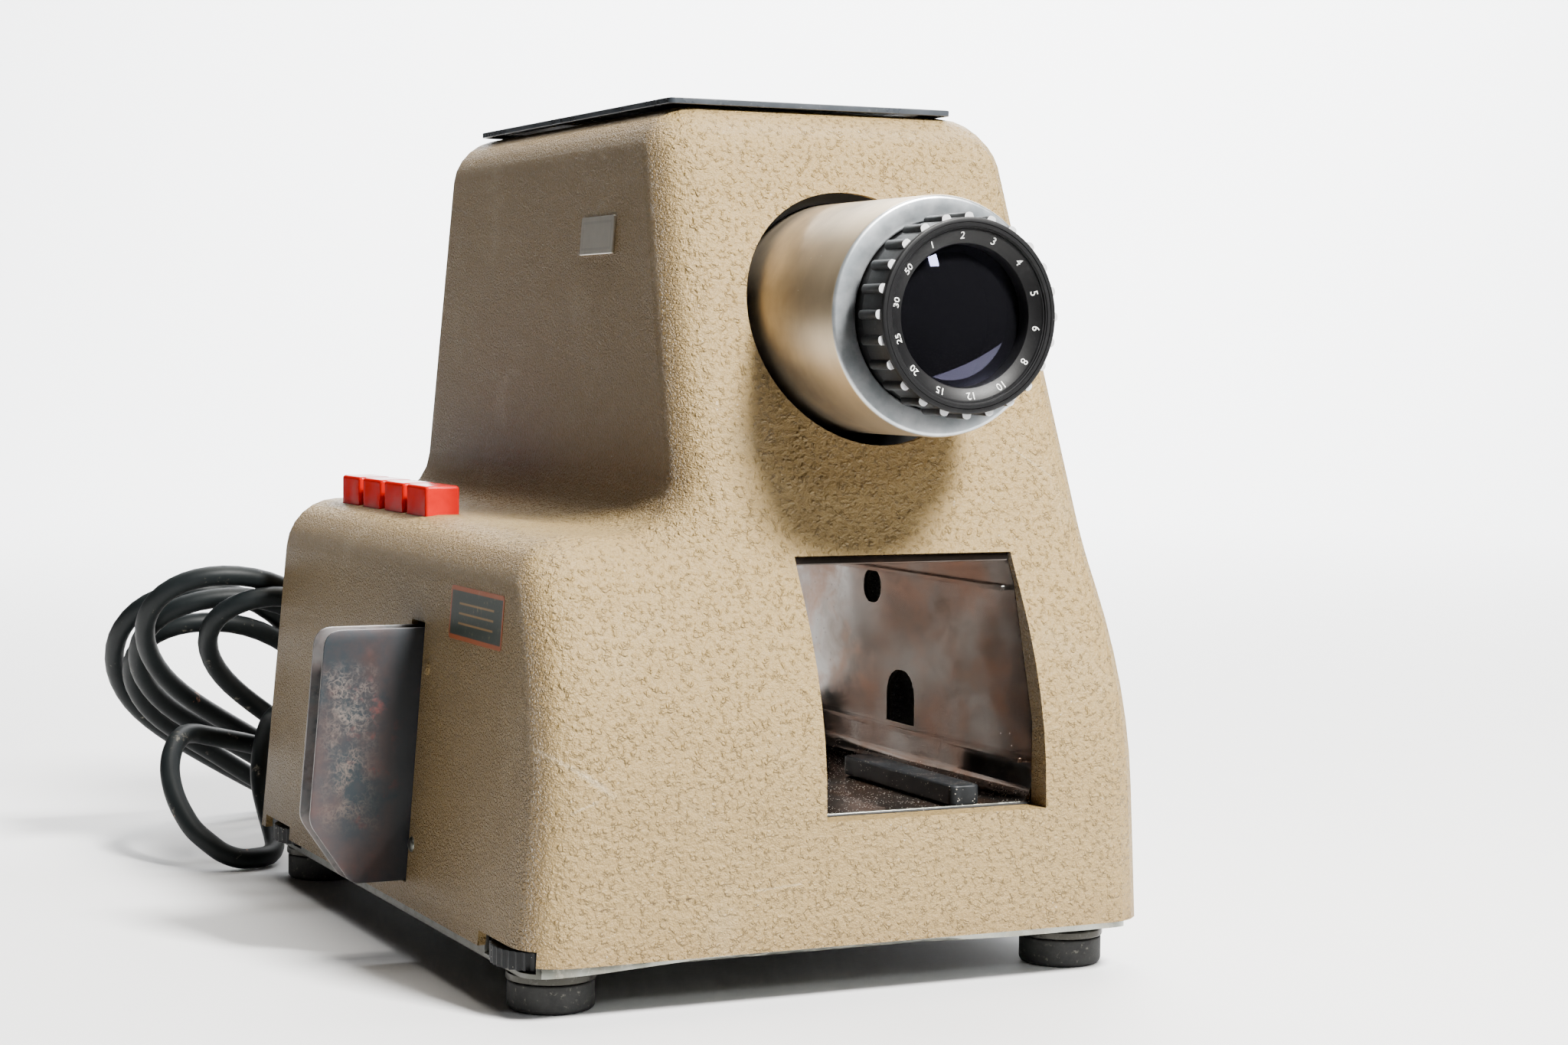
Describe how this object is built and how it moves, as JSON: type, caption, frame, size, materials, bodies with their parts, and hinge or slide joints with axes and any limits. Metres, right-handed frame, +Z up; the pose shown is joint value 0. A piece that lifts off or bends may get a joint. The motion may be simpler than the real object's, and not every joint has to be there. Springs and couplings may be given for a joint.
{
  "type": "slide projector",
  "caption": "Slide projector with a tall lamp tower, a lens, an open magazine tunnel, push buttons on a low step and a side slide changer.",
  "frame": {"origin": "on the floor below the middle of the projector's length and width", "axes": "+X to the right seen from the lens side, +Y to the back, +Z up; the lens looks along -Y"},
  "size_m": [0.2133, 0.3766, 0.2362],
  "materials": {
    "paint": "smooth satin beige paint, lightly rubbed",
    "black_paint": "semi-gloss black paint",
    "galvanised": "dull galvanised sheet steel",
    "tunnel_metal": "aged bright nickel-plated sheet",
    "aluminium": "turned and polished",
    "black_metal": "black anodised",
    "black_plastic": "moulded, matt",
    "red_plastic": "glossy moulded red",
    "rusty_steel": "bare steel with brown oxide and pale bloom",
    "rubber": "moulded black rubber",
    "coated_glass": "polished, violet anti-reflection coating",
    "clear_glass": "polished clear",
    "copper": "varnished winding in brown wrap",
    "core_steel": "varnished laminations, dark",
    "ceramic": "unglazed white ceramic",
    "mirror_metal": "polished bowl"
  },
  "bodies": {
    "casing": {"housing": "paint", "rear_panel": "paint", "base_pan": "galvanised", "magazine_tunnel": "tunnel_metal", "magazine_guide_bar": "black_plastic", "tunnel_trestle_front": "galvanised", "tunnel_trestle_rear": "galvanised", "optical_bench": "galvanised", "lens_mount": "black_metal", "lens_sleeve": "aluminium", "lens_guide_tube": "black_metal", "slide_gate": "black_metal", "gate_pressure_plate": "aluminium", "condenser_barrel": "black_metal", "condenser_front_lens": "clear_glass", "heat_glass": "clear_glass", "condenser_rear_lens": "clear_glass", "lamp_bulb": "clear_glass", "lamp_socket": "ceramic", "lamp_mirror": "mirror_metal", "lamp_house": "galvanised", "blower_motor": "core_steel", "transformer_core": "core_steel", "transformer_coil": "copper", "switch_bank": "black_plastic", "changer_runner": "galvanised", "lead_strain_relief": "rubber", "foot_rubber_front_right": "rubber", "foot_spindle_front_right": "galvanised", "foot_rubber_rear_right": "rubber", "foot_spindle_rear_right": "galvanised", "mains_lead": "rubber", "mains_coil": "rubber", "mains_tail": "rubber", "mains_plug": "black_plastic"},
    "lid": {"top_lid": "black_paint"},
    "lens_barrel": {"lens_cell": "black_metal", "lens_retaining_ring": "black_metal", "front_lens": "coated_glass", "middle_lens": "coated_glass", "rear_lens": "coated_glass"},
    "focus_grip": {"focus_ring": "black_metal"},
    "changer": {"slide_changer": "rusty_steel"},
    "blower": {"blower_impeller": "aluminium", "blower_shaft": "core_steel"},
    "button_1": {"push_button_1": "red_plastic"},
    "button_2": {"push_button_2": "red_plastic"},
    "button_3": {"push_button_3": "red_plastic"},
    "button_4": {"push_button_4": "red_plastic"},
    "wheel_front_left": {"height_wheel_front_left": "black_plastic"},
    "foot_front_left": {"foot_rubber_front_left": "rubber", "foot_spindle_front_left": "galvanised"},
    "wheel_rear_left": {"height_wheel_rear_left": "black_plastic"},
    "foot_rear_left": {"foot_rubber_rear_left": "rubber", "foot_spindle_rear_left": "galvanised"}
  },
  "joints": [
    {"name": "lid_lift", "type": "slide", "parent": "casing", "child": "lid", "axis": [0, 0, 1], "range_m": [0, 0.15]},
    {"name": "lens_travel", "type": "slide", "parent": "casing", "child": "lens_barrel", "axis": [0, -1, 0], "range_m": [-0.0025, 0.018]},
    {"name": "focus_turn", "type": "hinge", "parent": "lens_barrel", "child": "focus_grip", "pos_m": [0.03617, -0.12513, 0.1744], "axis": [0, -1, 0], "range_deg": [-150, 1080]},
    {"name": "changer_push", "type": "slide", "parent": "casing", "child": "changer", "axis": [1, 0, 0], "range_m": [0, 0.025]},
    {"name": "blower_spin", "type": "hinge", "parent": "casing", "child": "blower", "pos_m": [0.03617, -0.12513, 0.1744], "axis": [0, -1, 0], "continuous": true},
    {"name": "button_1_press", "type": "slide", "parent": "casing", "child": "button_1", "axis": [0, 0, -1], "range_m": [0, 0.0035], "stiffness_N_per_m": 500, "springref_m": -0.001},
    {"name": "button_2_press", "type": "slide", "parent": "casing", "child": "button_2", "axis": [0, 0, -1], "range_m": [0, 0.0035], "stiffness_N_per_m": 500, "springref_m": -0.001},
    {"name": "button_3_press", "type": "slide", "parent": "casing", "child": "button_3", "axis": [0, 0, -1], "range_m": [0, 0.0035], "stiffness_N_per_m": 500, "springref_m": -0.001},
    {"name": "button_4_press", "type": "slide", "parent": "casing", "child": "button_4", "axis": [0, 0, -1], "range_m": [0, 0.0035], "stiffness_N_per_m": 500, "springref_m": -0.001},
    {"name": "wheel_front_left_turn", "type": "hinge", "parent": "casing", "child": "wheel_front_left", "pos_m": [-0.06084, -0.10203, 0], "axis": [0, 0, 1], "range_deg": [0, 1440]},
    {"name": "foot_front_left_travel", "type": "slide", "parent": "casing", "child": "foot_front_left", "axis": [0, 0, -1], "range_m": [0, 0.006]},
    {"name": "wheel_rear_left_turn", "type": "hinge", "parent": "casing", "child": "wheel_rear_left", "pos_m": [-0.06084, 0.09897, 0], "axis": [0, 0, 1], "range_deg": [0, 1440]},
    {"name": "foot_rear_left_travel", "type": "slide", "parent": "casing", "child": "foot_rear_left", "axis": [0, 0, -1], "range_m": [0, 0.006]}
  ],
  "couplings": [
    {"joint": "focus_turn", "follows": "lens_travel", "rad_per_m": 1047},
    {"joint": "wheel_front_left_turn", "follows": "foot_front_left_travel", "rad_per_m": 4188},
    {"joint": "wheel_rear_left_turn", "follows": "foot_rear_left_travel", "rad_per_m": 4188}
  ]
}
